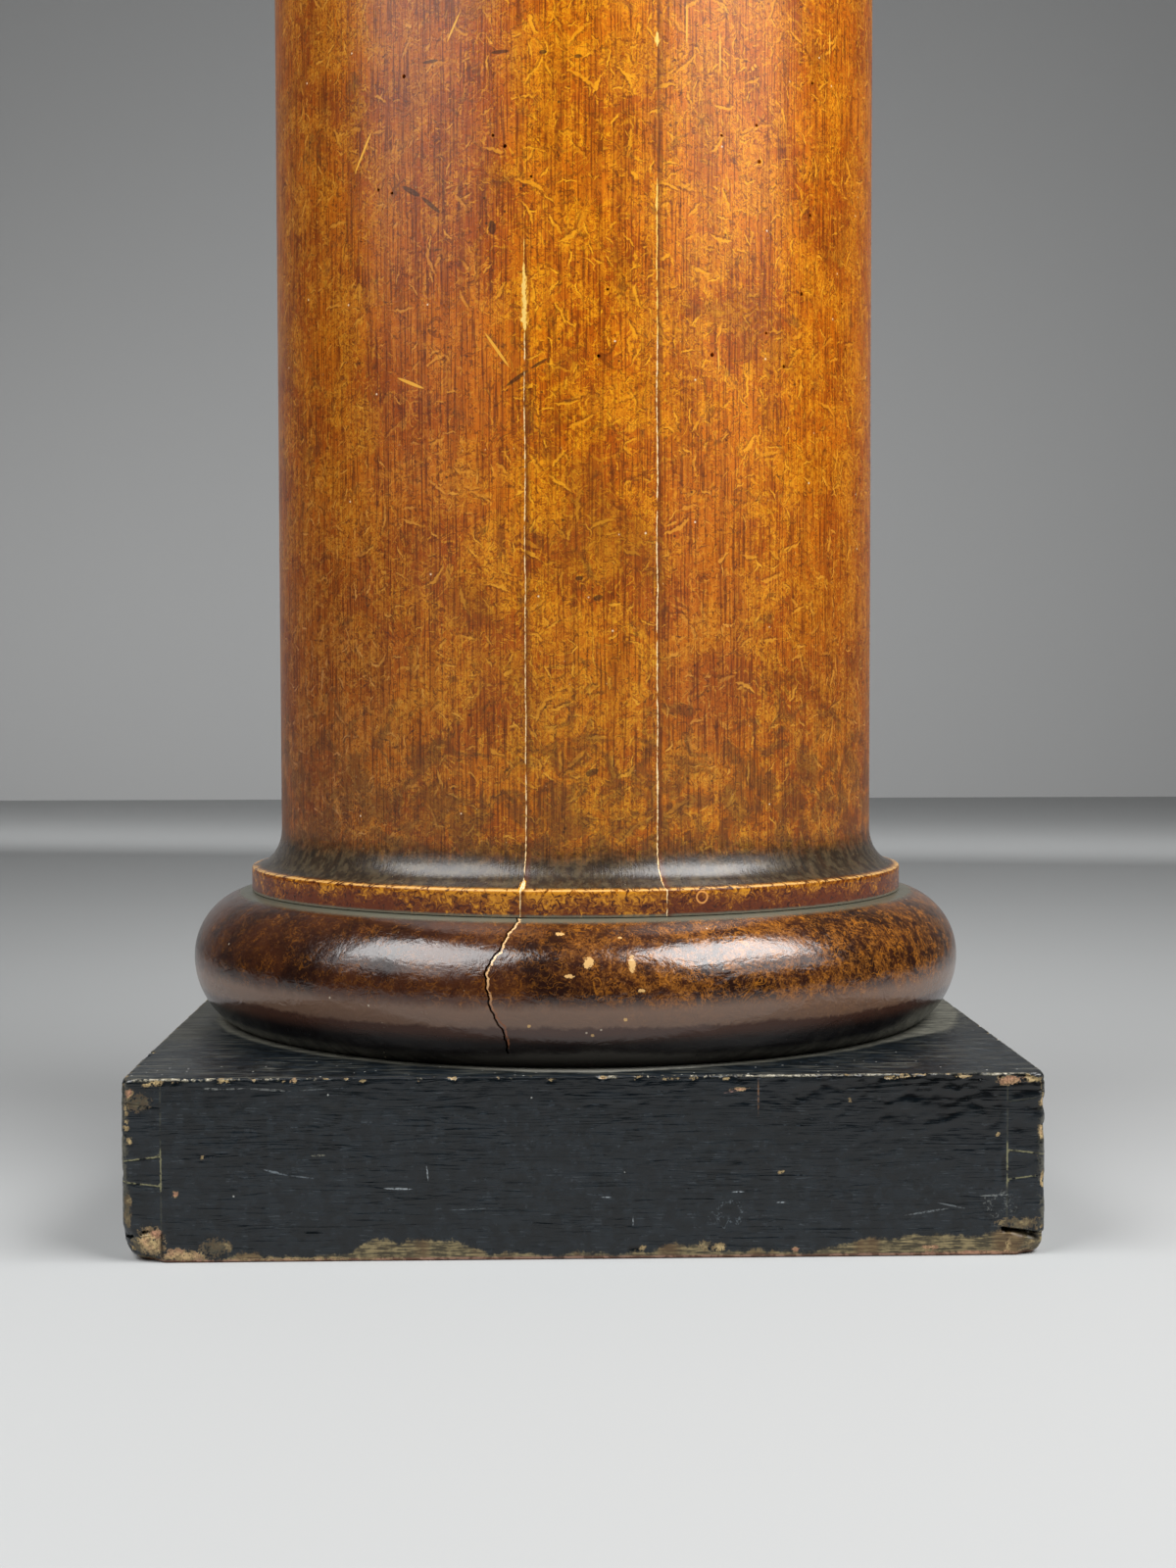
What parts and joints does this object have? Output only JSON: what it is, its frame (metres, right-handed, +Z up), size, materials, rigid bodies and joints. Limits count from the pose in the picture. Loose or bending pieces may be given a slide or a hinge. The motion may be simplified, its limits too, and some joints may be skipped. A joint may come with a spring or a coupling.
{
  "type": "wooden column pedestal",
  "caption": "Round column pedestal of grained varnished wood on a thick turned torus and a black square dovetailed plinth, with a turned ring and a square slab at the top.",
  "frame": {"origin": "centre of the underside, where the pedestal stands on the floor", "axes": "+Z up along the column, -Y out of the front face of the plinth, +X to the right as seen from the front"},
  "size_m": [0.4, 0.4, 1.0997],
  "materials": {
    "grained_varnish": "glossy varnish over painted burl graining, worn",
    "dark_varnish": "glossy dark varnish over painted graining, worn",
    "plinth_paint": "hand-brushed black paint, satin, chipped along the edges",
    "slab_paint": "hand-brushed black paint, satin"
  },
  "bodies": {
    "root": {"plinth_front_board": "plinth_paint", "plinth_back_board": "plinth_paint", "plinth_left_board": "plinth_paint", "plinth_right_board": "plinth_paint", "plinth_deck": "plinth_paint", "base_torus": "dark_varnish", "stave_01": "grained_varnish", "stave_02": "grained_varnish", "stave_03": "grained_varnish", "stave_04": "grained_varnish", "stave_05": "grained_varnish", "stave_06": "grained_varnish", "stave_07": "grained_varnish", "stave_08": "grained_varnish", "stave_09": "grained_varnish", "stave_10": "grained_varnish", "stave_11": "grained_varnish", "stave_12": "grained_varnish", "stave_13": "grained_varnish", "stave_14": "grained_varnish", "stave_15": "grained_varnish", "stave_16": "grained_varnish", "cap_ring": "dark_varnish", "top_slab": "slab_paint"}
  },
  "joints": []
}
